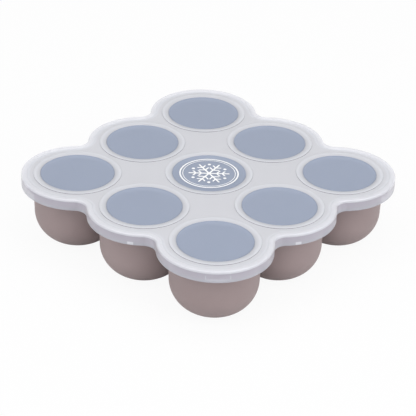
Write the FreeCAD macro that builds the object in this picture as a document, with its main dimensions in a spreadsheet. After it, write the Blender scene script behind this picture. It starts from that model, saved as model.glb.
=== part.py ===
import FreeCAD, Part
import math
import os

import Sketcher

# A freezer tray for baby food: a soft silicone tray of nine deep cups under a lobed flange, and
# one thin clip-on lid whose skirt snaps round that flange. The flange and the cups are moulded
# in one; here each is a solid of its own, and the cups meet the flange face to face.
# The origin is on the table under the middle cup, +Z is up, and the cups stand on a square grid.
# Lengths are in millimetres and angles in degrees.

SIZES = [
    # The silicone tray.
    ("cup_gap", 2.8, "space between neighbouring cups"),
    ("tray_height", 49.0, "table to the top of the flange"),
    ("flange_thickness", 4.4, "the flange that joins the cups"),
    ("flange_bevel", 0.9, "bevel of the flange's edge"),
    ("cup_radius", 30.6, "outside of a cup"),
    ("cup_wall", 2.3, "wall of a cup"),
    ("cup_floor", 2.5, "floor of a cup"),
    ("cup_corner", 22.5, "outside rounding between a cup's wall and its foot"),
    # The lid's plate, rim and skirt.
    ("lid_overhang", 8.0, "outside of the lid beyond the outer cups"),
    ("junction_radius", 9.0, "hollow corner of the lid between two lobes"),
    ("lid_plate", 1.2, "flat web of the lid"),
    ("skirt_wall", 1.2, "skirt round the lid"),
    ("skirt_depth", 6.8, "skirt below the top of the flange"),
    ("skirt_bevel", 0.3, "bevel of the skirt's lower edge"),
    ("rim_raise", 0.4, "rim above the web"),
    ("rim_width", 4.2, "rim, across"),
    ("rim_drop", 0.9, "rim's steep outer bevel, down the skirt"),
    ("rim_lean", 0.4, "rim's steep outer bevel, inward"),
    ("rim_shoulder", 0.5, "rim's upper bevel"),
    # The lid over each cup.
    ("window_plate", 1.0, "clear window over a cup"),
    ("window_recess", 0.4, "top of the window below the web"),
    ("plug_wall", 2.0, "sealing plug round each window, across"),
    ("plug_depth", 2.0, "sealing plug below the top of the flange"),
    ("bead_raise", 0.4, "raised bead round each window, above the web"),
    ("bead_width", 5.2, "bead, across, from the window outward"),
    ("bead_slope", 1.2, "slope on each side of the bead, across"),
    # The catches inside the skirt.
    ("catch_reach", 0.7, "catch inward from the skirt"),
    ("catch_height", 1.5, "catch, from its ledge to the end of its ramp"),
    ("catch_land", 0.4, "upright face of a catch"),
    ("corner_catch_angle", 23.0, "catch on a corner lobe, round the lobe"),
    ("side_catch_angle", 6.0, "catch on a middle lobe, round the lobe"),
    ("side_catch_turn", 30.0, "catch on a middle lobe, from the lobe's middle"),
    # Clearances.
    ("flange_gap", 0.9, "flange edge to the inside of the skirt"),
    ("plug_gap", 0.35, "plug to the inside of a cup's mouth"),
    ("catch_gap", 0.3, "catch to the underside of the flange"),
]

ROWS = ("front", "middle", "back")  # rows of cups, towards +Y
COLUMNS = ("left", "middle", "right")  # cups in a row, towards +X
CORNER_BANDS = 4  # straight bands that make up the rounding of a cup
SIDES = 4  # sides and corners of the tray
CORNER_LOBE_TURN = 225  # direction of the front left lobe, round the tray's axis
SIDE_LOBE_TURN = 270  # direction of the front middle lobe
ORIGIN_INDEX, X_AXIS_INDEX, Y_AXIS_INDEX = -1, -1, -2  # a sketch's own origin and axes
START_INDEX, END_INDEX, CENTRE_INDEX = 1, 2, 3  # points of a line or an arc in a sketch
NEAR = 1e-4  # match of an edge to its radius and height


class Size:
    """A size that carries its value and the expression that the document recomputes it from."""

    def __init__(self, text, value):
        self.text = text
        self.value = value

    def joined(self, sign, other, value):
        return Size(f"({self.text} {sign} {getattr(other, 'text', other)})", value)

    def __add__(self, other):
        return self.joined("+", other, self.value + getattr(other, "value", other))

    def __sub__(self, other):
        return self.joined("-", other, self.value - getattr(other, "value", other))

    def __mul__(self, other):
        return self.joined("*", other, self.value * getattr(other, "value", other))

    def __truediv__(self, other):
        return self.joined("/", other, self.value / getattr(other, "value", other))

    def __neg__(self):
        return self * -1


ZERO = Size("0", 0.0)

doc = FreeCAD.newDocument("FreezerTray")
sheet = doc.addObject("Spreadsheet::Sheet", "Sizes")
size = {}
for row, (alias, value, meaning) in enumerate(SIZES, start=1):
    sheet.set(f"A{row}", meaning)
    sheet.set(f"B{row}", str(value))
    sheet.setAlias(f"B{row}", alias)
    size[alias] = Size(f"Sizes.{alias}", value)
doc.recompute()

# Sizes that the pieces share, worked out from the table.
pitch = size["cup_radius"] * 2 + size["cup_gap"]
lobe_radius = size["cup_radius"] + size["lid_overhang"]
flange_top = size["tray_height"]
flange_under = flange_top - size["flange_thickness"]
mouth_radius = size["cup_radius"] - size["cup_wall"]
skirt_inset = size["skirt_wall"]
flange_inset = skirt_inset + size["flange_gap"]
skirt_foot = flange_top - size["skirt_depth"]
web_top = flange_top + size["lid_plate"]
rim_top = web_top + size["rim_raise"]


# --- Sketches and features -----------------------------------------------------------------


def origin_feature(body, role):
    """The plane or axis of a body's own origin that plays this role, such as XY_Plane."""
    return next(item for item in body.Origin.OriginFeatures if item.Role == role)


def add_sketch(body, name, plane, offset=(ZERO, ZERO, ZERO), turn=ZERO):
    """An empty sketch on an origin plane, moved by offset and turned about its upright."""
    sketch = body.newObject("Sketcher::SketchObject", name)
    sketch.AttachmentSupport = [(origin_feature(body, plane), "")]
    sketch.MapMode = "FlatFace"
    upright = FreeCAD.Vector(0, 1, 0) if plane == "XZ_Plane" else FreeCAD.Vector(0, 0, 1)
    base = FreeCAD.Vector(*(step.value for step in offset))
    sketch.AttachmentOffset = FreeCAD.Placement(base, FreeCAD.Rotation(upright, turn.value))
    for axis, step in zip("xyz", offset):
        sketch.setExpression(f"AttachmentOffset.Base.{axis}", step.text)
    if turn is not ZERO:
        sketch.setExpression("AttachmentOffset.Rotation.Angle", turn.text)
    return sketch


def bind(sketch, kind, *where, to):
    """One measured constraint, tied to its size."""
    index = sketch.addConstraint(Sketcher.Constraint(kind, *where, to.value))
    sketch.setExpression(f"Constraints[{index}]", to.text)


def place_point(sketch, geo, point, across, up):
    """Ties a point's place to two sizes, measured from the sketch's origin."""
    for kind, axis, to in (("DistanceX", Y_AXIS_INDEX, across), ("DistanceY", X_AXIS_INDEX, up)):
        if to is ZERO:
            sketch.addConstraint(Sketcher.Constraint("PointOnObject", geo, point, axis))
        else:
            bind(sketch, kind, geo, point, to=to)


def disc_sketch(body, name, radius, height):
    """A circle about the first cup of the grid, at a height above the table."""
    sketch = add_sketch(body, name, "XY_Plane", (-pitch, -pitch, height))
    circle = Part.Circle(FreeCAD.Vector(), FreeCAD.Vector(0, 0, 1), radius.value)
    sketch.addGeometry(circle, False)
    sketch.addConstraint(Sketcher.Constraint("Coincident", 0, CENTRE_INDEX, ORIGIN_INDEX, START_INDEX))
    bind(sketch, "Radius", 0, to=radius)
    return sketch


def profile_sketch(body, name, offset, corners, turn=ZERO):
    """A closed upright section with straight lines from corner to corner."""
    sketch = add_sketch(body, name, "XZ_Plane", offset, turn)
    points = [FreeCAD.Vector(across.value, up.value, 0) for across, up in corners]
    for here, there in zip(points, points[1:] + points[:1]):
        sketch.addGeometry(Part.LineSegment(here, there), False)
    for edge, (across, up) in enumerate(corners):
        previous = (edge - 1) % len(corners)
        sketch.addConstraint(Sketcher.Constraint("Coincident", previous, END_INDEX, edge, START_INDEX))
        place_point(sketch, edge, START_INDEX, across, up)
    return sketch


def lobed_sketch(body, name, inset, height):
    """The tray's outline seen from above: an arc round each of the eight outer cups, and
    between neighbours a hollow arc tangent to both, all moved inward by the inset."""
    sketch = add_sketch(body, name, "XY_Plane", (ZERO, ZERO, height))
    lobe = lobe_radius - inset
    junction = size["junction_radius"] + inset
    signs = [(-1, -1), (0, -1), (1, -1), (1, 0), (1, 1), (0, 1), (-1, 1), (-1, 0)]
    place = {-1: -pitch, 0: ZERO, 1: pitch}
    centres = [FreeCAD.Vector(x * pitch.value, y * pitch.value, 0) for x, y in signs]
    reach = lobe.value + junction.value
    hollows = []
    for here, there in zip(centres, centres[1:] + centres[:1]):
        along = (there - here).normalize()
        outward = FreeCAD.Vector(along.y, -along.x, 0)
        half = (there - here).Length / 2
        hollows.append(here + along * half + outward * math.sqrt(reach ** 2 - half ** 2))

    def arc(centre, radius, first, last):
        """Anticlockwise arc from the direction of first to the direction of last."""
        turns = [math.atan2((to - centre).y, (to - centre).x) for to in (first, last)]
        circle = Part.Circle(centre, FreeCAD.Vector(0, 0, 1), radius)
        return Part.ArcOfCircle(circle, *turns)

    for step, centre in enumerate(centres):
        following = centres[(step + 1) % len(centres)]
        sketch.addGeometry(arc(centre, lobe.value, hollows[step - 1], hollows[step]), False)
        sketch.addGeometry(arc(hollows[step], junction.value, following, centre), False)
    for step, (x, y) in enumerate(signs):
        lobe_arc = 2 * step
        hollow_arc = lobe_arc + 1
        next_lobe = (lobe_arc + 2) % (2 * len(signs))
        place_point(sketch, lobe_arc, CENTRE_INDEX, place[x], place[y])
        bind(sketch, "Radius", lobe_arc, to=lobe)
        bind(sketch, "Radius", hollow_arc, to=junction)
        for kind, *where in (
            ("Tangent", lobe_arc, END_INDEX, hollow_arc, END_INDEX),
            ("Tangent", hollow_arc, START_INDEX, next_lobe, START_INDEX),
        ):
            sketch.addConstraint(Sketcher.Constraint(kind, *where))
    return sketch


def extrude(body, kind, name, sketch, length, upward=False):
    """A Pad above its sketch, or a Pocket below it, or above it where upward is True."""
    feature = body.newObject(f"PartDesign::{kind}", name)
    feature.Profile = sketch
    feature.Length = length.value
    feature.setExpression("Length", length.text)
    feature.Reversed = upward
    sketch.Visibility = False
    return feature


def turn_round(body, kind, name, sketch, angle=None):
    """A Revolution or a Groove about the sketch's upright axis, whole or through an angle that
    the sketch halves."""
    feature = body.newObject(f"PartDesign::{kind}", name)
    feature.Profile = sketch
    feature.ReferenceAxis = (sketch, ["V_Axis"])
    feature.Angle = 360.0
    if angle is not None:
        feature.Midplane = True
        feature.setExpression("Angle", angle.text)
    sketch.Visibility = False
    return feature


def repeat(body, name, originals, patterns):
    """Copies of some features, by one pattern after another."""
    copies = body.newObject("PartDesign::MultiTransform", name)
    copies.Originals = originals
    copies.Transformations = patterns
    for pattern in patterns:
        body.addObject(pattern)
    body.Tip = copies
    doc.recompute()
    return copies


def grid_patterns(body, name):
    """Two rows of copies that carry a feature from the first cup to all nine."""
    rows = []
    for axis in ("X_Axis", "Y_Axis"):
        row = doc.addObject("PartDesign::LinearPattern", f"{name}_{axis[0].lower()}")
        row.Direction = (origin_feature(body, axis), [""])
        row.Occurrences = len(ROWS)
        row.setExpression("Length", (pitch * (len(ROWS) - 1)).text)
        rows.append(row)
    return rows


def ring_pattern(body, name):
    """Copies round the tray's own axis, one for each side."""
    ring = doc.addObject("PartDesign::PolarPattern", name)
    ring.Axis = (origin_feature(body, "Z_Axis"), [""])
    ring.Angle = 360.0
    ring.Occurrences = SIDES
    return ring


def mirror_pattern(body, name):
    """A copy on the other side of the tray's middle plane."""
    mirror = doc.addObject("PartDesign::Mirrored", name)
    mirror.MirrorPlane = (origin_feature(body, "YZ_Plane"), [""])
    return mirror


def bevel_edges(body, name, bevel, rings, second=None):
    """A chamfer on the circular edges that have one of the given radii and heights, with a
    second distance where it isn't at 45 degrees."""
    base = body.Tip
    names = []
    for number, edge in enumerate(base.Shape.Edges, start=1):
        if not isinstance(edge.Curve, Part.Circle):
            continue
        for ring, height in rings:
            fits = abs(edge.Curve.Radius - ring.value) < NEAR
            if fits and abs(edge.CenterOfMass.z - height.value) < NEAR:
                names.append(f"Edge{number}")
    feature = body.newObject("PartDesign::Chamfer", name)
    feature.Base = (base, names)
    feature.Size = bevel.value
    feature.setExpression("Size", bevel.text)
    if second is not None:
        feature.ChamferType = "Two distances"
        feature.Size2 = second.value
        feature.setExpression("Size2", second.text)
    doc.recompute()
    return feature


def outline_rings(inset, height):
    """The two radii of the lobed outline at this inset, with the height of the outline."""
    return [(lobe_radius - inset, height), (size["junction_radius"] + inset, height)]


# --- flange: the top of the silicone tray ---------------------------------------------------
# A solid plate with a lobe round each outer cup and a round mouth over every cup.


def make_flange():
    """The flange that joins the nine cups."""
    body = doc.addObject("PartDesign::Body", "flange")
    body.Label = "flange"
    outline = lobed_sketch(body, "flange_outline", flange_inset, flange_under)
    extrude(body, "Pad", "plate", outline, size["flange_thickness"])
    doc.recompute()
    edges = [ring for height in (flange_top, flange_under)
             for ring in outline_rings(flange_inset, height)]
    bevel_edges(body, "edge_bevels", size["flange_bevel"], edges)
    mouth_outline = disc_sketch(body, "mouth_outline", mouth_radius, flange_top)
    mouth = extrude(body, "Pocket", "mouth", mouth_outline, size["flange_thickness"])
    repeat(body, "mouths", [mouth], grid_patterns(body, "mouth_row"))
    return body


# --- The cups -------------------------------------------------------------------------------
# Nine cups, each a turned shell with an upright wall, a wide rounding and a flat foot.


def rounding(radius, corner, floor):
    """Corners of a quarter turn of the corner radius, from a floor up to an upright wall, in
    straight bands."""
    turns = [math.radians(90 * band / CORNER_BANDS) for band in range(CORNER_BANDS + 1)]
    return [
        (radius - corner + corner * math.sin(turn), floor + corner - corner * math.cos(turn))
        for turn in turns
    ]


def make_cup(name, column, row):
    """One cup, in a column and a row counted from the middle of the grid."""
    body = doc.addObject("PartDesign::Body", name)
    body.Label = name
    outside = rounding(size["cup_radius"], size["cup_corner"], ZERO)
    inner_corner = size["cup_corner"] - size["cup_wall"]
    inside = rounding(mouth_radius, inner_corner, size["cup_floor"])
    section = [(ZERO, ZERO)] + outside
    section += [(size["cup_radius"], flange_under), (mouth_radius, flange_under)]
    section += inside[::-1] + [(ZERO, size["cup_floor"])]
    place = (pitch * column, ZERO, pitch * -row)
    turn_round(body, "Revolution", "shell", profile_sketch(body, "section", place, section))
    return body


def cup_name(column, row):
    """Such as cup_front_left, and cup_centre for the middle of the middle row."""
    if column == row == 0:
        return "cup_centre"
    return f"cup_{ROWS[row + 1]}_{COLUMNS[column + 1]}"


# --- clip_lid: the lid ----------------------------------------------------------------------
# A thin plate with a raised rim and a skirt. Over each cup it has a sunken window, a plug that
# enters the mouth and a raised bead, all in one turned section. Catches inside the skirt pass
# under the flange.


def window_profile():
    """Corners of half the lid's upright section over one cup."""
    plug_radius = mouth_radius - size["plug_gap"]
    window_radius = plug_radius - size["plug_wall"]
    bead_radius = window_radius + size["bead_width"]
    window_top = web_top - size["window_recess"]
    window_under = window_top - size["window_plate"]
    plug_foot = flange_top - size["plug_depth"]
    bead_top = web_top + size["bead_raise"]
    return [
        (ZERO, window_under),
        (window_radius, window_under),
        (window_radius, plug_foot),
        (plug_radius, plug_foot),
        (plug_radius, flange_top),
        (bead_radius, flange_top),
        (bead_radius, web_top),
        (bead_radius - size["bead_slope"], bead_top),
        (window_radius + size["bead_slope"], bead_top),
        (window_radius, window_top),
        (ZERO, window_top),
    ]


def hook_profile():
    """Corners of a catch's section, rooted in the skirt: a level ledge above and a ramp below."""
    wall_face = lobe_radius - skirt_inset
    catch_tip = wall_face - size["catch_reach"]
    rooted = wall_face + size["skirt_wall"] / 2
    ledge = flange_under - size["catch_gap"]
    ramp_foot = ledge - size["catch_height"]
    return [
        (wall_face, ramp_foot),
        (rooted, ramp_foot),
        (rooted, ledge),
        (catch_tip, ledge),
        (catch_tip, ledge - size["catch_land"]),
    ]


def make_clip_lid():
    """The clip-on lid."""
    body = doc.addObject("PartDesign::Body", "clip_lid")
    body.Label = "clip_lid"
    first_cup = (-pitch, ZERO, pitch)
    block = lobed_sketch(body, "skirt_outline", ZERO, skirt_foot)
    extrude(body, "Pad", "block", block, rim_top - skirt_foot)
    doc.recompute()
    top_edge = outline_rings(ZERO, rim_top)
    bevel_edges(body, "rim_sides", size["rim_drop"], top_edge, size["rim_lean"])
    leaning_edge = outline_rings(size["rim_lean"], rim_top)
    bevel_edges(body, "rim_shoulders", size["rim_shoulder"], leaning_edge)
    hollow = lobed_sketch(body, "hollow_outline", skirt_inset, skirt_foot)
    extrude(body, "Pocket", "hollow", hollow, size["skirt_depth"], upward=True)
    doc.recompute()
    skirt_edges = outline_rings(ZERO, skirt_foot) + outline_rings(skirt_inset, skirt_foot)
    bevel_edges(body, "skirt_bevels", size["skirt_bevel"], skirt_edges)
    web = lobed_sketch(body, "web_outline", size["rim_width"], rim_top)
    extrude(body, "Pocket", "web", web, size["rim_raise"])
    hole_outline = disc_sketch(body, "hole_outline", mouth_radius, web_top)
    hole = extrude(body, "Pocket", "hole", hole_outline, size["lid_plate"])
    repeat(body, "holes", [hole], grid_patterns(body, "hole_row"))
    section = profile_sketch(body, "window_section", first_cup, window_profile())
    window = turn_round(body, "Revolution", "window", section)
    repeat(body, "windows", [window], grid_patterns(body, "window_row"))

    # One wide catch on each corner lobe, and two narrow ones on each middle lobe.
    corner_turn = Size(str(CORNER_LOBE_TURN), CORNER_LOBE_TURN)
    corner_hook = profile_sketch(body, "corner_hook", first_cup, hook_profile(), corner_turn)
    corner_catch = turn_round(
        body, "Revolution", "corner_catch", corner_hook, size["corner_catch_angle"]
    )
    repeat(body, "corner_catches", [corner_catch], [ring_pattern(body, "corner_ring")])
    side_turn = size["side_catch_turn"] + SIDE_LOBE_TURN
    side_hook = profile_sketch(
        body, "side_hook", (ZERO, ZERO, pitch), hook_profile(), side_turn
    )
    side_catch = turn_round(
        body, "Revolution", "side_catch", side_hook, size["side_catch_angle"]
    )
    side_patterns = [mirror_pattern(body, "side_mirror"), ring_pattern(body, "side_ring")]
    repeat(body, "side_catches", [side_catch], side_patterns)

    return body


# --- Build, check and write -----------------------------------------------------------------

bodies = [make_flange(), make_clip_lid()]
bodies += [make_cup(cup_name(x, y), x, y) for y in (-1, 0, 1) for x in (-1, 0, 1)]
doc.recompute()
for item in doc.Objects:
    if "Invalid" in item.State or "Error" in item.State:
        raise RuntimeError(f"{item.Name} failed: {item.State}")
os.makedirs("parts", exist_ok=True)
for body in bodies:
    if body.Shape.isNull() or not body.Shape.isValid() or len(body.Shape.Solids) != 1:
        raise RuntimeError(f"{body.Label} is not one valid solid")
    body.Shape.exportStep(f"parts/{body.Label}.step")
    box = body.Shape.BoundBox
    print(f"{body.Label}: {body.Shape.Volume / 1000:.2f} cm3, "
          f"{box.XLength:.2f} x {box.YLength:.2f} mm, z {box.ZMin:.2f} to {box.ZMax:.2f}")
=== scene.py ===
import math

import bmesh
import bpy
import numpy as np
from mathutils import Matrix, Vector
from mathutils.geometry import delaunay_2d_cdt


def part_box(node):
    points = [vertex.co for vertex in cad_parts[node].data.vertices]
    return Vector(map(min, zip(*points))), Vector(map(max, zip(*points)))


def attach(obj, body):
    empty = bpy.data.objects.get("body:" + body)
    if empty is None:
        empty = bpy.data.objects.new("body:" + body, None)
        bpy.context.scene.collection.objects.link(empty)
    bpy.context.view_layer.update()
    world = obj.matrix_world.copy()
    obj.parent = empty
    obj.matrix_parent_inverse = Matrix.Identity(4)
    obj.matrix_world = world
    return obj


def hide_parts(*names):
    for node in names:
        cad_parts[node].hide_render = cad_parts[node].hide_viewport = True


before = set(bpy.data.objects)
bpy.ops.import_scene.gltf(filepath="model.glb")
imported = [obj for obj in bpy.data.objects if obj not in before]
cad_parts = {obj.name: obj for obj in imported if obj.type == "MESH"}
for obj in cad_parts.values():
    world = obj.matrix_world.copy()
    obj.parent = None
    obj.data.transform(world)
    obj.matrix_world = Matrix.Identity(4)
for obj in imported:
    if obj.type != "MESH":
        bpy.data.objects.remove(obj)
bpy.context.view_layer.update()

# --- The silicone tray ----------------------------------------------------------------------
# One soft moulding of nine deep round cups that hang from a lobed flange. It is pressed from
# taupe food silicone, with a fine satin texture from the mould and soft rounded edges.

MM = 0.001
flange_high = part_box("flange")[1]
lid_low, lid_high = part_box("clip_lid")

PITCH = 64 * MM
FLANGE_TOP = flange_high.z
FLANGE_UNDER = FLANGE_TOP - 4.4 * MM
FLANGE_ROUND = 1.0 * MM
LID_LOBE = lid_high.x - PITCH
LID_HOLLOW = 9.0 * MM
FLANGE_INSET = lid_high.x - flange_high.x
CUP_RADIUS = 30.6 * MM
CUP_FOOT_NARROWER = 0.7 * MM
CUP_WALL = 2.3 * MM
CUP_FLOOR = 2.5 * MM
CUP_CORNER = 22.5 * MM
CUP_ROOT_ROUND = 1.2 * MM
MOUTH_ROUND = 0.6 * MM
MOUTH_LIP = 4.0 * MM
OUTER_WALL_FOOT = 24 * MM
INNER_WALL_FOOT = 26 * MM
FLOOR_RING = 4 * MM
CUP_STEPS = 96
LOBE_STEPS_PER_RADIAN = 60
HOLLOW_STEPS = 30

GRID = np.array([(x, y) for y in (-1, 0, 1) for x in (-1, 0, 1)], float)
CUP_CENTRES = GRID * PITCH


def directions(angles):
    """Unit vectors (cos a, sin a) of an array of angles in radians."""
    return np.column_stack([np.cos(angles), np.sin(angles)])


def bearing(vectors):
    """The angle in radians of a flat vector (x, y), or of each row of an array of them."""
    return np.arctan2(vectors[..., 1], vectors[..., 0])


def arc(centre, radius, first, last, steps):
    """Points of an arc: the centre plus the radius times (cos a, sin a), as a goes from the
    first angle to the last in degrees."""
    return np.array(centre) + radius * directions(np.radians(np.linspace(first, last, steps)))


def lobed_outline():
    """Points and outward normals of the lid's outline. Each of the eight outer cups has an arc
    of the lobe radius, and the hollow arc between two neighbours is centred on the line midway
    between them, at the distance where the two radii add up."""
    ring = np.array([(-1, -1), (0, -1), (1, -1), (1, 0), (1, 1), (0, 1), (-1, 1), (-1, 0)])
    lobes = ring * PITCH
    following = np.roll(lobes, -1, axis=0)
    along = (following - lobes) / PITCH
    outward = np.column_stack([along[:, 1], -along[:, 0]])
    drop = math.sqrt((LID_LOBE + LID_HOLLOW) ** 2 - (PITCH / 2) ** 2)
    hollows = (lobes + following) / 2 + outward * drop
    points, normals = [], []
    for lobe, before, after, ahead in zip(lobes, np.roll(hollows, 1, axis=0), hollows, following):
        turn = bearing(before - lobe)
        sweep = (bearing(after - lobe) - turn) % (2 * np.pi)
        steps = round(LOBE_STEPS_PER_RADIAN * sweep)
        normal = directions(turn + sweep * np.linspace(0, 1, steps, endpoint=False))
        points.append(lobe + LID_LOBE * normal)
        normals.append(normal)
        turn = bearing(lobe - after)
        sweep = (bearing(ahead - after) - turn + np.pi) % (2 * np.pi) - np.pi
        normal = directions(turn + sweep * np.linspace(0, 1, HOLLOW_STEPS, endpoint=False))
        points.append(after + LID_HOLLOW * normal)
        normals.append(-normal)
    return np.vstack(points), np.vstack(normals)


OUTLINE, OUTLINE_NORMALS = lobed_outline()


def filled(loops):
    """Points and triangles of the area between closed loops. Of the Delaunay triangles of all
    their points, those stay whose middle has an odd number of loops round it: a line from the
    middle to the right crosses the loops an odd number of times."""
    edges, start = [], 0
    for loop in loops:
        index = np.arange(start, start + len(loop))
        edges += np.column_stack([index, np.roll(index, -1)]).tolist()
        start += len(loop)
    all_triangles, same_point = 0, 1e-9
    found = delaunay_2d_cdt(np.vstack(loops).tolist(), edges, [], all_triangles, same_point)
    points, faces = np.array(found[0]), np.array(found[2])
    x, y = points[faces].mean(axis=1).T[:, :, None]
    crossings = np.zeros(len(faces), int)
    for loop in loops:
        (ax, ay), (bx, by) = loop.T, np.roll(loop, -1, axis=0).T
        spans = (ay > y) != (by > y)
        rise = np.where(by == ay, 1, by - ay)
        crossings += (spans & (ax + (y - ay) / rise * (bx - ax) > x)).sum(axis=1)
    return points, faces[crossings % 2 == 1]


SAME_PLACE = MM / 1000


def close_seams(mesh):
    """Joins the seams between grids and fills, and points the faces outward."""
    work = bmesh.new()
    work.from_mesh(mesh)
    bmesh.ops.remove_doubles(work, verts=work.verts, dist=SAME_PLACE)
    bmesh.ops.recalc_face_normals(work, faces=work.faces)
    work.to_mesh(mesh)
    work.free()


PLAIN_TONE = 0.5


class Surface:
    """Vertices and faces of one piece, gathered from grids and flat fills. Each vertex has a
    tone from 0 to 1, which the piece's material may turn into a colour."""

    def __init__(self):
        self.points, self.faces, self.smooth, self.tone = [], [], [], []
        self.count = 0

    def add(self, points, faces, smooth, tone=PLAIN_TONE):
        """Takes in points and the faces between them."""
        self.points.append(points)
        self.tone.append(np.broadcast_to(tone, len(points)))
        self.faces.extend((np.asarray(faces) + self.count).tolist())
        self.smooth.extend([smooth] * len(faces))
        self.count += len(points)

    def grid(self, points, tone=PLAIN_TONE, closed=True):
        """A grid of points, profile by profile, whose quads join each profile to the next and
        the last to the first where the grid is closed."""
        rows, columns = points.shape[:2]
        index = np.arange(rows * columns).reshape(rows, columns)
        here = index if closed else index[:-1]
        there = np.roll(index, -1, axis=0) if closed else index[1:]
        quads = np.stack([here[:, :-1], here[:, 1:], there[:, 1:], there[:, :-1]], axis=-1)
        tones = np.broadcast_to(tone, (rows, columns)).reshape(-1)
        self.add(points.reshape(-1, 3), quads.reshape(-1, 4), smooth=True, tone=tones)

    def strip(self, profile, tone=PLAIN_TONE):
        """The lobed outline with a profile of (inset, height) carried round it: each point is
        the outline's point less the inset along its normal."""
        flat = OUTLINE[:, None] - profile[None, :, :1] * OUTLINE_NORMALS[:, None]
        height = np.broadcast_to(profile[:, 1], flat.shape[:2])
        self.grid(np.dstack([flat, height]), tone)

    def turned(self, profile, centre, tone=PLAIN_TONE):
        """A profile of (radius, height) turned about an upright axis: each point is the centre
        plus the radius times (cos a, sin a), at the profile's height."""
        a = np.linspace(0, 2 * np.pi, CUP_STEPS, endpoint=False)[:, None]
        x = centre[0] + profile[:, 0] * np.cos(a)
        y = centre[1] + profile[:, 0] * np.sin(a)
        self.grid(np.dstack([x, y, np.broadcast_to(profile[:, 1], x.shape)]), tone)

    def flat(self, inset, hole_radius, height, up, tone=PLAIN_TONE):
        """A flat face at one height: the outline at this inset, with a round hole about each
        cup. The triangles run anticlockwise from above, and clockwise where it faces down."""
        hole = hole_radius * directions(np.linspace(0, 2 * np.pi, CUP_STEPS, endpoint=False))
        loops = [OUTLINE - inset * OUTLINE_NORMALS] + [centre + hole for centre in CUP_CENTRES]
        points, faces = filled(loops)
        points = np.column_stack([points, np.full(len(points), height)])
        self.add(points, faces if up else faces[:, ::-1], smooth=False, tone=tone)

    def piece(self, name, material):
        """The finished object, with its seams closed and its normals outward."""
        mesh = bpy.data.meshes.new(name)
        mesh.from_pydata(np.vstack(self.points).tolist(), [], self.faces)
        mesh.polygons.foreach_set("use_smooth", self.smooth)
        tone = mesh.attributes.new("tone", "FLOAT", "POINT")
        tone.data.foreach_set("value", np.concatenate(self.tone).astype(np.float32))
        close_seams(mesh)
        mesh.materials.append(material)
        obj = bpy.data.objects.new(name, mesh)
        bpy.context.scene.collection.objects.link(obj)
        return obj


class Nodes:
    """The nodes of one tree, made and linked by the names of their inputs."""

    def __init__(self, tree):
        self.tree = tree

    def fill(self, node, **inputs):
        """Sets inputs of a node, or links them where the value is another node's output."""
        for name, value in inputs.items():
            socket = node.inputs[name.replace("_", " ")]
            if isinstance(value, bpy.types.NodeSocket):
                self.tree.links.new(value, socket)
            else:
                socket.default_value = value

    def node(self, kind, **inputs):
        """A new node with its inputs filled."""
        made = self.tree.nodes.new(kind)
        self.fill(made, **inputs)
        return made


class Finish(Nodes):
    """A material whose shader takes numbers, and patterns on the object's own coordinates."""

    def __init__(self, name):
        self.material = bpy.data.materials.new(name)
        self.material.use_nodes = True
        super().__init__(self.material.node_tree)
        self.shader = self.tree.nodes["Principled BSDF"]

    def set(self, **inputs):
        """Sets or links inputs of the shader."""
        self.fill(self.shader, **inputs)

    def noise(self, scale, detail, roughness):
        """A cloudy pattern from 0 to 1, with about this many clouds to the metre."""
        place = self.node("ShaderNodeTexCoord").outputs["Object"]
        clouds = self.node(
            "ShaderNodeTexNoise", Vector=place, Scale=scale, Detail=detail, Roughness=roughness
        )
        return clouds.outputs["Fac"]

    def ramp(self, value, stops):
        """The colour at a value, read between stops of (place, colour)."""
        made = self.node("ShaderNodeValToRGB", Fac=value)
        elements = made.color_ramp.elements
        elements.remove(elements[-1])
        elements[0].position = stops[0][0]
        elements[0].color = (*stops[0][1], 1)
        for place, colour in stops[1:]:
            elements.new(place).color = (*colour, 1)
        return made.outputs["Color"]

    def spread(self, value, low, high):
        """A number that goes from low to high as the value goes from 0 to 1."""
        made = self.node("ShaderNodeMapRange", Value=value, To_Min=low, To_Max=high)
        return made.outputs["Result"]

    def bump(self, height, strength, depth=0.1 * MM):
        """Normals that follow a pattern as a relief of this depth."""
        made = self.node("ShaderNodeBump", Height=height, Strength=strength, Distance=depth)
        return made.outputs["Normal"]


def taupe_silicone():
    """Taupe silicone: slow drifts of tone, a fine satin grain, and a soft bloom at the edges."""
    finish = Finish("taupe_silicone")
    drift = finish.noise(scale=28.0, detail=3.0, roughness=0.5)
    grain = finish.noise(scale=2400.0, detail=2.0, roughness=0.6)
    finish.set(
        Base_Color=finish.ramp(
            drift, [(0.3, (0.328, 0.258, 0.256)), (0.7, (0.352, 0.278, 0.276))]
        ),
        Roughness=finish.spread(grain, 0.48, 0.62),
        Normal=finish.bump(grain, 0.12),
        Specular_IOR_Level=0.35,
        Sheen_Weight=0.08,
        Sheen_Roughness=0.5,
    )
    return finish.material


foot_radius = CUP_RADIUS - CUP_FOOT_NARROWER
mouth_radius = CUP_RADIUS - CUP_WALL
inner_foot_radius = foot_radius - CUP_WALL
inner_corner = CUP_CORNER - CUP_WALL
flange_flat = FLANGE_INSET + FLANGE_ROUND

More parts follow.
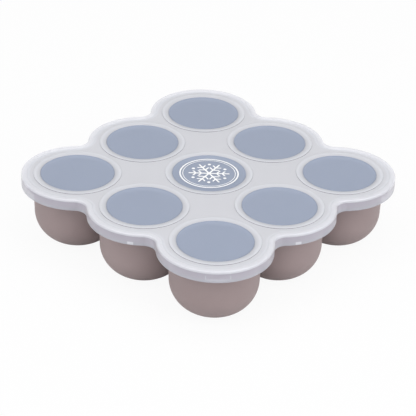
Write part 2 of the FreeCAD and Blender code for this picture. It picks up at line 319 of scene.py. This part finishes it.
cup_outside = np.vstack([
    arc(
        (CUP_RADIUS + CUP_ROOT_ROUND, FLANGE_UNDER - CUP_ROOT_ROUND), CUP_ROOT_ROUND,
        90, 180, 9,
    ),
    np.linspace(
        (CUP_RADIUS, FLANGE_UNDER - 2 * CUP_ROOT_ROUND), (foot_radius, OUTER_WALL_FOOT), 7
    ),
    arc((foot_radius - CUP_CORNER, CUP_CORNER), CUP_CORNER, 0, -90, 25),
    [(FLOOR_RING, 0), (0, 0)],
])
cup_inside = np.vstack([
    arc((mouth_radius + MOUTH_ROUND, FLANGE_TOP - MOUTH_ROUND), MOUTH_ROUND, 90, 180, 7),
    np.linspace(
        (mouth_radius, FLANGE_TOP - MOUTH_LIP), (inner_foot_radius, INNER_WALL_FOOT), 6
    ),
    arc((inner_foot_radius - inner_corner, CUP_FLOOR + inner_corner), inner_corner, 0, -90, 23),
    [(FLOOR_RING, CUP_FLOOR), (0, CUP_FLOOR)],
])
flange_edge = np.vstack([
    arc((flange_flat, FLANGE_TOP - FLANGE_ROUND), FLANGE_ROUND, 90, 180, 7),
    arc((flange_flat, FLANGE_UNDER + FLANGE_ROUND), FLANGE_ROUND, 180, 270, 7),
])

silicone = Surface()
for cup in CUP_CENTRES:
    silicone.turned(cup_outside, cup)
    silicone.turned(cup_inside, cup)
silicone.strip(flange_edge)
silicone.flat(flange_flat, mouth_radius + MOUTH_ROUND, FLANGE_TOP, up=True)
silicone.flat(flange_flat, CUP_RADIUS + CUP_ROOT_ROUND, FLANGE_UNDER, up=False)
silicone_tray = silicone.piece("silicone_tray", taupe_silicone())
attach(silicone_tray, "tray")
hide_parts(*(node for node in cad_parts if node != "clip_lid"))

# --- The lid's shell ------------------------------------------------------------------------
# A thin moulding of frosted, milky plastic: a flat web with a raised rounded rim, a short
# skirt round the flange, and over each cup a raised ring above a plug that seals the mouth.

RIM_TOP = lid_high.z
RIM_WIDTH = 4.2 * MM
RIM_ROUND = 0.95 * MM
WEB_TOP = RIM_TOP - 0.4 * MM
BAND_TOP = FLANGE_TOP - 0.2 * MM
SKIRT_FOOT = lid_low.z
SKIRT_WALL = 1.2 * MM
SKIRT_ROUND = 0.35 * MM
SKIRT_FILLET = 0.8 * MM
UNDERSIDE = FLANGE_TOP + 0.05 * MM
WINDOW_RADIUS = 25.45 * MM
WINDOW_TOP = WEB_TOP - 0.2 * MM
WINDOW_UNDER = WINDOW_TOP - 1.0 * MM
PLUG_RADIUS = mouth_radius - 0.35 * MM
PLUG_FOOT = FLANGE_TOP - 2.0 * MM
BEAD_FOOT = WINDOW_RADIUS + 5.7 * MM
BEAD_STEP = WINDOW_RADIUS + 4.8 * MM
BEAD_TOP = WEB_TOP + 0.38 * MM

# The shell's tones: the step tone is a painted shadow line at the foot of each ring, the band and
# foot tones are painted shade on the skirt, and the rim tone is whiter plastic with a painted
# highlight.
STEP_SHADE_TONE, BAND_SHADE_TONE, FOOT_SHADE_TONE, WEB_TONE, RING_TONE, RIM_TONE = 0.0, 0.2, 0.4, 0.6, 0.8, 1.0


def frosted_plastic(name, colours, alpha, roughness, sheen=0.0, coat=0.0):
    """Frosted plastic: milky white, whose colour follows a tone on the surface where there are
    several colours, each given with its tone. The tones stand for how thick the moulding is,
    and on the shell also for painted shade and painted highlight. Faint clouds from the flow
    of the plastic and a fine frost lie over it."""
    finish = Finish(name)
    thickness_and_shade = finish.node("ShaderNodeAttribute")
    thickness_and_shade.attribute_name = "tone"
    cloud = finish.noise(scale=22.0, detail=4.0, roughness=0.55)
    frost = finish.noise(scale=3200.0, detail=2.0, roughness=0.6)
    clouded = finish.node("ShaderNodeMix")
    clouded.data_type = "RGBA"
    clouded.blend_type = "MULTIPLY"
    finish.fill(
        clouded,
        Factor=1.0,
        A=finish.ramp(thickness_and_shade.outputs["Fac"], colours),
        B=finish.spread(cloud, 0.975, 1.025),
    )
    finish.set(
        Base_Color=clouded.outputs["Result"],
        Roughness=finish.spread(frost, roughness - 0.05, roughness + 0.07),
        Normal=finish.bump(frost, 0.1),
        Alpha=alpha,
        Specular_IOR_Level=0.4,
        Sheen_Weight=sheen,
        Sheen_Roughness=0.35,
        Coat_Weight=coat,
        Coat_Roughness=0.35,
        Coat_IOR=1.6,
    )
    return finish.material


# The darkest colour is a painted shadow line, the band and foot colours are painted shade, and
# the rim colour is partly a painted highlight.
shell_colours = [
    (STEP_SHADE_TONE, (0.20, 0.19, 0.22)),
    (BAND_SHADE_TONE, (0.58, 0.56, 0.64)),
    (FOOT_SHADE_TONE, (0.56, 0.57, 0.64)),
    (WEB_TONE, (0.785, 0.795, 0.845)),
    (RING_TONE, (0.85, 0.87, 0.93)),
    (RIM_TONE, (0.90, 0.91, 0.97)),
]
frosted_shell = frosted_plastic(
    "frosted_shell", shell_colours, alpha=0.62, roughness=0.36, sheen=0.6, coat=0.8
)


def toned(rows, tone):
    """Rows of a profile with a tone beside each of them: one for all, or a list."""
    return np.column_stack([rows, np.full(len(rows), tone)])


# The rim and the skirt, as rows of (inset, height, tone) from the web outward, down the band and
# round the skirt's foot to the underside of the web. The tone changes over a short blend at the
# band's top and at the flange's underside, and over a longer one on the skirt's inside.
# The band and the foot are painted darker than the web, as shade on the skirt and on the flange
# and cups behind it. The rim's round and the wall above the band are whiter where the plastic is
# thicker, and partly a painted highlight.
TOP_BLEND, FOOT_BLEND = 0.06 * MM, 0.2 * MM
INSIDE_BLEND_FOOT, INSIDE_BLEND_TOP = 44 * MM, 46 * MM
RIB_TOP = 46.5 * MM
rim_and_skirt = np.vstack([
    toned([(RIM_WIDTH + 2.2 * MM, WEB_TOP)], WEB_TONE),
    toned([
        (RIM_WIDTH + 1.0 * MM, WEB_TOP),
        (RIM_WIDTH + 0.2 * MM, WEB_TOP),
        (RIM_WIDTH, WEB_TOP + 0.03 * MM),
        (RIM_WIDTH - 0.3 * MM, WEB_TOP + 0.16 * MM),
    ], RING_TONE),
    toned([
        (RIM_WIDTH - 0.65 * MM, RIM_TOP - 0.06 * MM),
        (RIM_WIDTH - 1.0 * MM, RIM_TOP),
        (RIM_ROUND + 0.1 * MM, RIM_TOP),
        *arc((RIM_ROUND, RIM_TOP - RIM_ROUND), RIM_ROUND, 90, 180, 9),
        (0, BAND_TOP + TOP_BLEND),
    ], RIM_TONE),
    toned([
        (0, BAND_TOP - TOP_BLEND),
        (0, RIB_TOP),
        (0, FLANGE_UNDER + FOOT_BLEND),
    ], BAND_SHADE_TONE),
    toned([
        (0, FLANGE_UNDER - FOOT_BLEND),
        (0, SKIRT_FOOT + 0.8 * MM),
        *arc((SKIRT_ROUND, SKIRT_FOOT + SKIRT_ROUND), SKIRT_ROUND, 180, 270, 5),
        *arc((SKIRT_WALL - SKIRT_ROUND, SKIRT_FOOT + SKIRT_ROUND), SKIRT_ROUND, 270, 360, 5),
        (SKIRT_WALL, INSIDE_BLEND_FOOT),
    ], FOOT_SHADE_TONE),
    toned([(SKIRT_WALL, INSIDE_BLEND_TOP)], BAND_SHADE_TONE),
    toned(
        arc((SKIRT_WALL + SKIRT_FILLET, UNDERSIDE - SKIRT_FILLET), SKIRT_FILLET, 180, 90, 6),
        [BAND_SHADE_TONE] * 3 + [RIM_TONE] * 3,
    ),
])

# The ring over each cup, as rows of (radius, height, tone) from the web over its steep outer
# step and its flat top down to the window, and on down the plug. The step's wall carries a
# painted shadow line with a soft painted shadow on the web just outside it, and the slope from
# the ring's top down to the window is painted darker as shade.
ring_and_plug = np.array([
    (BEAD_FOOT, WEB_TOP, WEB_TONE),
    (BEAD_STEP + 0.3 * MM, WEB_TOP, 0.58),
    (BEAD_STEP + 0.05 * MM, WEB_TOP + 0.01 * MM, 0.57),
    (BEAD_STEP + 0.03 * MM, WEB_TOP + 0.03 * MM, STEP_SHADE_TONE),
    (BEAD_STEP, BEAD_TOP - 0.04 * MM, STEP_SHADE_TONE),
    (BEAD_STEP - 0.06 * MM, BEAD_TOP, RING_TONE),
    (WINDOW_RADIUS + 3.5 * MM, BEAD_TOP, 0.93),
    (WINDOW_RADIUS + 2.75 * MM, BEAD_TOP - 0.03 * MM, 0.74),
    (WINDOW_RADIUS + 1.7 * MM, WEB_TOP + 0.22 * MM, 0.62),
    (WINDOW_RADIUS + 0.75 * MM, WEB_TOP + 0.02 * MM, 0.55),
    (WINDOW_RADIUS, WEB_TOP - 0.1 * MM, 0.5),
    (WINDOW_RADIUS, WINDOW_TOP, 0.42),
    (WINDOW_RADIUS, WINDOW_UNDER, RING_TONE),
    (WINDOW_RADIUS, PLUG_FOOT, RING_TONE),
    (PLUG_RADIUS, PLUG_FOOT, RING_TONE),
    (PLUG_RADIUS, UNDERSIDE, RING_TONE),
])

# The skirt is milkier where a catch backs its foot, and in two thin lines where the ribs at the
# ends of a corner catch back it beside the flange.
CORNER_CATCH_ANGLE, SIDE_CATCH_ANGLE, SIDE_CATCH_TURN = 23, 6, 30
RIB_ANGLE = 0.9
OUTER_CUPS = GRID[(GRID != 0).any(axis=1)]
inset, height, skirt_tone = rim_and_skirt.T
skirt_tones = np.tile(skirt_tone, (len(OUTLINE), 1))
beside_flange = (inset == 0) & (height > FLANGE_UNDER) & (height <= RIB_TOP)
below_flange = (inset == 0) & (height < FLANGE_UNDER)
for cup in OUTER_CUPS:
    from_cup = OUTLINE - cup * PITCH
    on_lobe = np.abs(np.hypot(*from_cup.T) - LID_LOBE) < SAME_PLACE
    turn = np.degrees(bearing(from_cup) - bearing(cup))
    turn = np.abs((turn + 180) % 360 - 180)
    if cup.all():
        lines = on_lobe & (np.abs(turn - CORNER_CATCH_ANGLE / 2) < RIB_ANGLE / 2)
        skirt_tones[np.ix_(lines, beside_flange)] = WEB_TONE
    else:
        spots = on_lobe & (np.abs(turn - SIDE_CATCH_TURN) < SIDE_CATCH_ANGLE / 2)
        skirt_tones[np.ix_(spots, below_flange)] = RING_TONE

shell = Surface()
shell.strip(rim_and_skirt[:, :2], skirt_tones)
for cup in CUP_CENTRES:
    shell.turned(ring_and_plug[:, :2], cup, ring_and_plug[:, 2])
shell.flat(inset[0], BEAD_FOOT, WEB_TOP, up=True, tone=WEB_TONE)
shell.flat(inset[-1], PLUG_RADIUS, UNDERSIDE, up=False, tone=WEB_TONE)
lid_shell = shell.piece("lid_shell", frosted_shell)
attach(lid_shell, "lid")
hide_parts("clip_lid")

# --- The lid's windows ----------------------------------------------------------------------
# Nine round panels, thinner and clearer than the web, moulded with it. They sink a little
# below the rings, and the cups show through them as a cool blue-grey.

WINDOW_PLAY = 0.02 * MM
WINDOW_DISH = 0.12 * MM
CURL_WIDTH, CURL_HEIGHT = 1.1 * MM, 0.3 * MM

pane_radius = WINDOW_RADIUS - WINDOW_PLAY
flat_radius = pane_radius - CURL_WIDTH
share = np.linspace(0, 1, 13)

# The pane's section: a dish whose height rises with the square of the radius, a curl that ends
# upright at the edge, and the flat underside back to the middle.
pane = np.vstack([
    np.column_stack([flat_radius * share, WINDOW_TOP - WINDOW_DISH * (1 - share**2)]),
    (flat_radius, WINDOW_TOP) + arc((0, 1), 1, -90, 0, 6)[1:] * (CURL_WIDTH, CURL_HEIGHT),
    np.column_stack([pane_radius * share[::-1], np.full(len(share), WINDOW_UNDER)]),
])
windows = Surface()
for cup in CUP_CENTRES:
    windows.turned(pane, cup)
window_colours = [(PLAIN_TONE, (0.47, 0.54, 0.69))]
frosted_window = frosted_plastic("frosted_window", window_colours, alpha=0.5, roughness=0.34)
lid_windows = windows.piece("lid_windows", frosted_window)
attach(lid_windows, "lid")

# --- The print on the middle window ---------------------------------------------------------
# A plain frost sign in one pass of white ink, pad-printed on the middle window: two rings, and
# in them a snow crystal of six arms with a dot between each pair of arms.

INK_THICKNESS = 0.04 * MM
INK_LIFT = 0.01 * MM
WIDE_RING = (20.6 * MM, 19.5 * MM)
THIN_RING = (18.4 * MM, 17.9 * MM)
ARM_LENGTH, ARM_HALF = 14.2 * MM, 0.62 * MM
ARMS = 6
BRANCHES = ((5.0 * MM, 3.6 * MM), (8.8 * MM, 3.0 * MM))
BRANCH_WIDTH = 1.1 * MM
BRANCH_SLANT = math.radians(60)
DOT_RADIUS, DOT_PLACE = 1.15 * MM, 12.6 * MM
INK_TURN = math.radians(-48.5)


def circle(radius, centre=(0, 0), steps=96):
    """A closed ring of points: the centre plus the radius times (cos a, sin a)."""
    return arc(centre, radius, 0, 360, steps + 1)[:-1]


def swung(points, angle):
    """Flat points turned about the middle by an angle a in radians: x times (cos a, sin a)
    plus y times (-sin a, cos a)."""
    along, across = directions(np.array([angle, angle + math.pi / 2]))
    return points @ np.array([along, across])


def crystal():
    """The outline of a snow crystal. Each arm is a bar along its own axis with slanted
    branches on both sides, and neighbouring arms meet where their edges cross, at twice the
    half width from the middle."""
    slant = directions(np.array([BRANCH_SLANT]))[0]
    step = (BRANCH_WIDTH / math.sin(BRANCH_SLANT), 0)
    side = [(ARM_HALF / math.tan(math.pi / ARMS), ARM_HALF)]
    for start, length in BRANCHES:
        root = np.array([start, ARM_HALF])
        side += [root, root + slant * length, root + slant * length + step, root + step]
    side = np.array(side + [(ARM_LENGTH - ARM_HALF, ARM_HALF)])
    tip = arc((ARM_LENGTH - ARM_HALF, 0), ARM_HALF, 60, -60, 5)
    other_side = side[::-1] * (1, -1)
    arm = np.vstack([side, tip, other_side[:-1]])[::-1]
    return np.vstack([swung(arm, number * 2 * math.pi / ARMS) for number in range(ARMS)])


def ink_height(points):
    """Height of the dished window under each point: the window's top, less the dish times one
    less the square of the radius over the pane's radius."""
    share = (points**2).sum(axis=1) / pane_radius**2
    return WINDOW_TOP - WINDOW_DISH * (1 - share)


def white_ink():
    """White ink: an even satin film with a faint mottle where the pad lifted."""
    finish = Finish("white_ink")
    mottle = finish.noise(scale=900.0, detail=3.0, roughness=0.6)
    finish.set(
        Base_Color=finish.ramp(mottle, [(0.0, (0.88, 0.88, 0.89)), (1.0, (0.94, 0.94, 0.95))]),
        Roughness=0.45,
    )
    return finish.material


between_arms = (np.arange(ARMS) + 0.5) * 2 * math.pi / ARMS
loops = [circle(radius) for radius in WIDE_RING + THIN_RING] + [crystal()]
loops += [circle(DOT_RADIUS, centre, 20) for centre in DOT_PLACE * directions(between_arms)]
loops = [swung(loop, INK_TURN) for loop in loops]
ink = Surface()
for loop in loops:
    low = ink_height(loop) + INK_LIFT
    ink.grid(np.stack([
        np.column_stack([loop, low]), np.column_stack([loop, low + INK_THICKNESS])
    ], axis=1))
points, faces = filled(loops)
for lift, triangles in ((INK_LIFT, faces[:, ::-1]), (INK_LIFT + INK_THICKNESS, faces)):
    ink.add(np.column_stack([points, ink_height(points) + lift]), triangles, smooth=False)
frost_sign = ink.piece("frost_sign", white_ink())
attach(frost_sign, "lid")

# --- The catches ----------------------------------------------------------------------------
# Small ramps on the inside of the skirt that pass under the flange's edge: a wide one on each
# corner lobe, with a thin rib at each end, and a pair of narrow ones on each middle lobe.

CATCH_REACH = 0.7 * MM
CATCH_LEDGE = FLANGE_UNDER - 0.3 * MM
CATCH_LAND = 0.4 * MM
CATCH_HEIGHT = 1.5 * MM
CATCH_ROOT = 0.4 * MM
RIB_REACH = 0.45 * MM
LEAST_STEPS = 4

skirt_face = LID_LOBE - SKIRT_WALL
catch = np.array([
    (skirt_face + CATCH_ROOT, CATCH_LEDGE),
    (skirt_face - CATCH_REACH, CATCH_LEDGE),
    (skirt_face - CATCH_REACH, CATCH_LEDGE - CATCH_LAND),
    (skirt_face + CATCH_ROOT / 2, CATCH_LEDGE - CATCH_HEIGHT),
    (skirt_face + CATCH_ROOT, CATCH_LEDGE - CATCH_HEIGHT),
])
rib = np.array([
    (skirt_face + CATCH_ROOT, FLANGE_TOP),
    (skirt_face - RIB_REACH, FLANGE_TOP),
    (skirt_face - RIB_REACH, CATCH_LEDGE - CATCH_LAND / 2),
    (skirt_face + CATCH_ROOT, CATCH_LEDGE - CATCH_LAND / 2),
])
catches = Surface()


def bent_bar(section, cup, turn, width):
    """Adds to the catches a section of (radius, height) that is carried round one lobe: each
    point is the cup's centre plus the radius times (cos a, sin a), as a goes through a width
    in degrees about the direction of the turn. Both ends are closed."""
    steps = max(LEAST_STEPS, round(width))
    angles = np.radians(np.linspace(turn - width / 2, turn + width / 2, steps))
    ring = np.vstack([section, section[:1]])
    x = cup[0] * PITCH + ring[:, 0] * np.cos(angles)[:, None]
    y = cup[1] * PITCH + ring[:, 0] * np.sin(angles)[:, None]
    points = np.dstack([x, y, np.broadcast_to(ring[:, 1], x.shape)])
    catches.grid(points, closed=False)
    for end in (points[0, :-1], points[-1, :-1]):
        catches.add(end, [range(len(end))], smooth=False)


for cup in OUTER_CUPS:
    outward = math.degrees(bearing(cup))
    if cup.all():
        bent_bar(catch, cup, outward, CORNER_CATCH_ANGLE)
    for side in (-1, 1):
        if cup.all():
            bent_bar(rib, cup, outward + side * CORNER_CATCH_ANGLE / 2, RIB_ANGLE)
        else:
            bent_bar(catch, cup, outward + side * SIDE_CATCH_TURN, SIDE_CATCH_ANGLE)

catch_colours = [(PLAIN_TONE, (0.92, 0.92, 0.95))]
frosted_catch = frosted_plastic("frosted_catch", catch_colours, alpha=0.9, roughness=0.36)
lid_catches = catches.piece("lid_catches", frosted_catch)
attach(lid_catches, "lid")

# --- Studio ---------------------------------------------------------------------------------
# A pale floor and white air all round, with one large soft lamp overhead and one on each side.
# To the camera the floor is nearly all glow, so that the tray's shadow on it stays faint.

FLOOR_HALF = 6.0
FLOOR_DROP = 0.2 * MM
FLOOR_GLOW = 0.93
AIR_LEVEL = 0.36

scene = bpy.context.scene
scene.view_settings.view_transform = "Standard"

floor_white = Finish("studio_floor")
floor_white.set(Base_Color=(0.84, 0.84, 0.85, 1), Roughness=0.9, Specular_IOR_Level=0.1)
seen = floor_white.node("ShaderNodeLightPath").outputs["Is Camera Ray"]
glow = floor_white.node("ShaderNodeEmission", Strength=1.0)
mixed = floor_white.node("ShaderNodeMixShader", Fac=floor_white.spread(seen, 0.0, FLOOR_GLOW))
floor_white.tree.links.new(floor_white.shader.outputs["BSDF"], mixed.inputs[1])
floor_white.tree.links.new(glow.outputs["Emission"], mixed.inputs[2])
floor_white.fill(floor_white.tree.nodes["Material Output"], Surface=mixed.outputs["Shader"])

floor_mesh = bpy.data.meshes.new("floor")
corners = np.array([(-1, -1), (1, -1), (1, 1), (-1, 1)]) * FLOOR_HALF
corners = np.column_stack([corners, np.full(len(corners), -FLOOR_DROP)])
floor_mesh.from_pydata(corners.tolist(), [], [range(len(corners))])
floor_mesh.materials.append(floor_white.material)
floor = bpy.data.objects.new("floor", floor_mesh)
scene.collection.objects.link(floor)

scene.world = bpy.data.worlds.new("studio_air")
scene.world.use_nodes = True
air = Nodes(scene.world.node_tree)
rays = air.node("ShaderNodeLightPath").outputs
seen_air = rays["Is Camera Ray"]
for ray in ("Is Glossy Ray", "Is Transmission Ray"):
    either = air.node("ShaderNodeMath", Value=seen_air)
    either.operation = "MAXIMUM"
    air.tree.links.new(rays[ray], either.inputs[1])
    seen_air = either.outputs["Value"]
level = air.node("ShaderNodeMapRange", Value=seen_air, To_Min=AIR_LEVEL, To_Max=1.0)
air.fill(
    air.tree.nodes["Background"], Color=(1.0, 1.0, 1.0, 1), Strength=level.outputs["Result"]
)


def away(azimuth, elevation):
    """The unit vector towards an azimuth and an elevation in radians: (sin a cos e, -cos a
    cos e, sin e)."""
    level = math.cos(elevation)
    return Vector((math.sin(azimuth) * level, -math.cos(azimuth) * level, math.sin(elevation)))


def soft_lamp(name, azimuth, elevation, distance, size, power):
    """A square soft light that looks at the tray from an azimuth and an elevation in degrees."""
    lamp = bpy.data.lights.new(name, "AREA")
    lamp.size = size
    lamp.energy = power
    obj = bpy.data.objects.new(name, lamp)
    back = away(math.radians(azimuth), math.radians(elevation))
    facing = back.to_track_quat("Z", "Y").to_matrix().to_4x4()
    obj.matrix_world = Matrix.Translation(back * distance) @ facing
    scene.collection.objects.link(obj)


soft_lamp("top_light", azimuth=-48, elevation=80, distance=1.6, size=1.8, power=16.3)
soft_lamp("left_light", azimuth=-109, elevation=26, distance=2.0, size=1.3, power=11.5)
soft_lamp("right_light", azimuth=12, elevation=26, distance=2.0, size=1.3, power=15)

# --- Camera ---------------------------------------------------------------------------------
# A long lens that looks down on one corner of the tray from a little over a metre away, and is
# turned a little about its own axis.

CAMERA_AZIMUTH, CAMERA_ELEVATION, CAMERA_ROLL = np.radians([-48.53, 30.08, 1.865])
CAMERA_DISTANCE = 1.2218
CAMERA_TARGET = Vector((-35.23 * MM, -31.21 * MM, 49.5 * MM))
LENS, SENSOR = 158.3, 36
CLIP_END = 30

camera_data = bpy.data.cameras.new("camera")
camera_data.lens = LENS
camera_data.sensor_width = SENSOR
camera_data.clip_end = CLIP_END
camera = bpy.data.objects.new("camera", camera_data)
back = away(CAMERA_AZIMUTH, CAMERA_ELEVATION)
level_right = Vector((math.cos(CAMERA_AZIMUTH), math.sin(CAMERA_AZIMUTH), 0))
level_up = back.cross(level_right)
right = math.cos(CAMERA_ROLL) * level_right + math.sin(CAMERA_ROLL) * level_up
up = math.cos(CAMERA_ROLL) * level_up - math.sin(CAMERA_ROLL) * level_right
turn = Matrix((right, up, back)).transposed().to_4x4()
camera.matrix_world = Matrix.Translation(CAMERA_TARGET + back * CAMERA_DISTANCE) @ turn
scene.collection.objects.link(camera)
scene.camera = camera

bpy.context.view_layer.update()
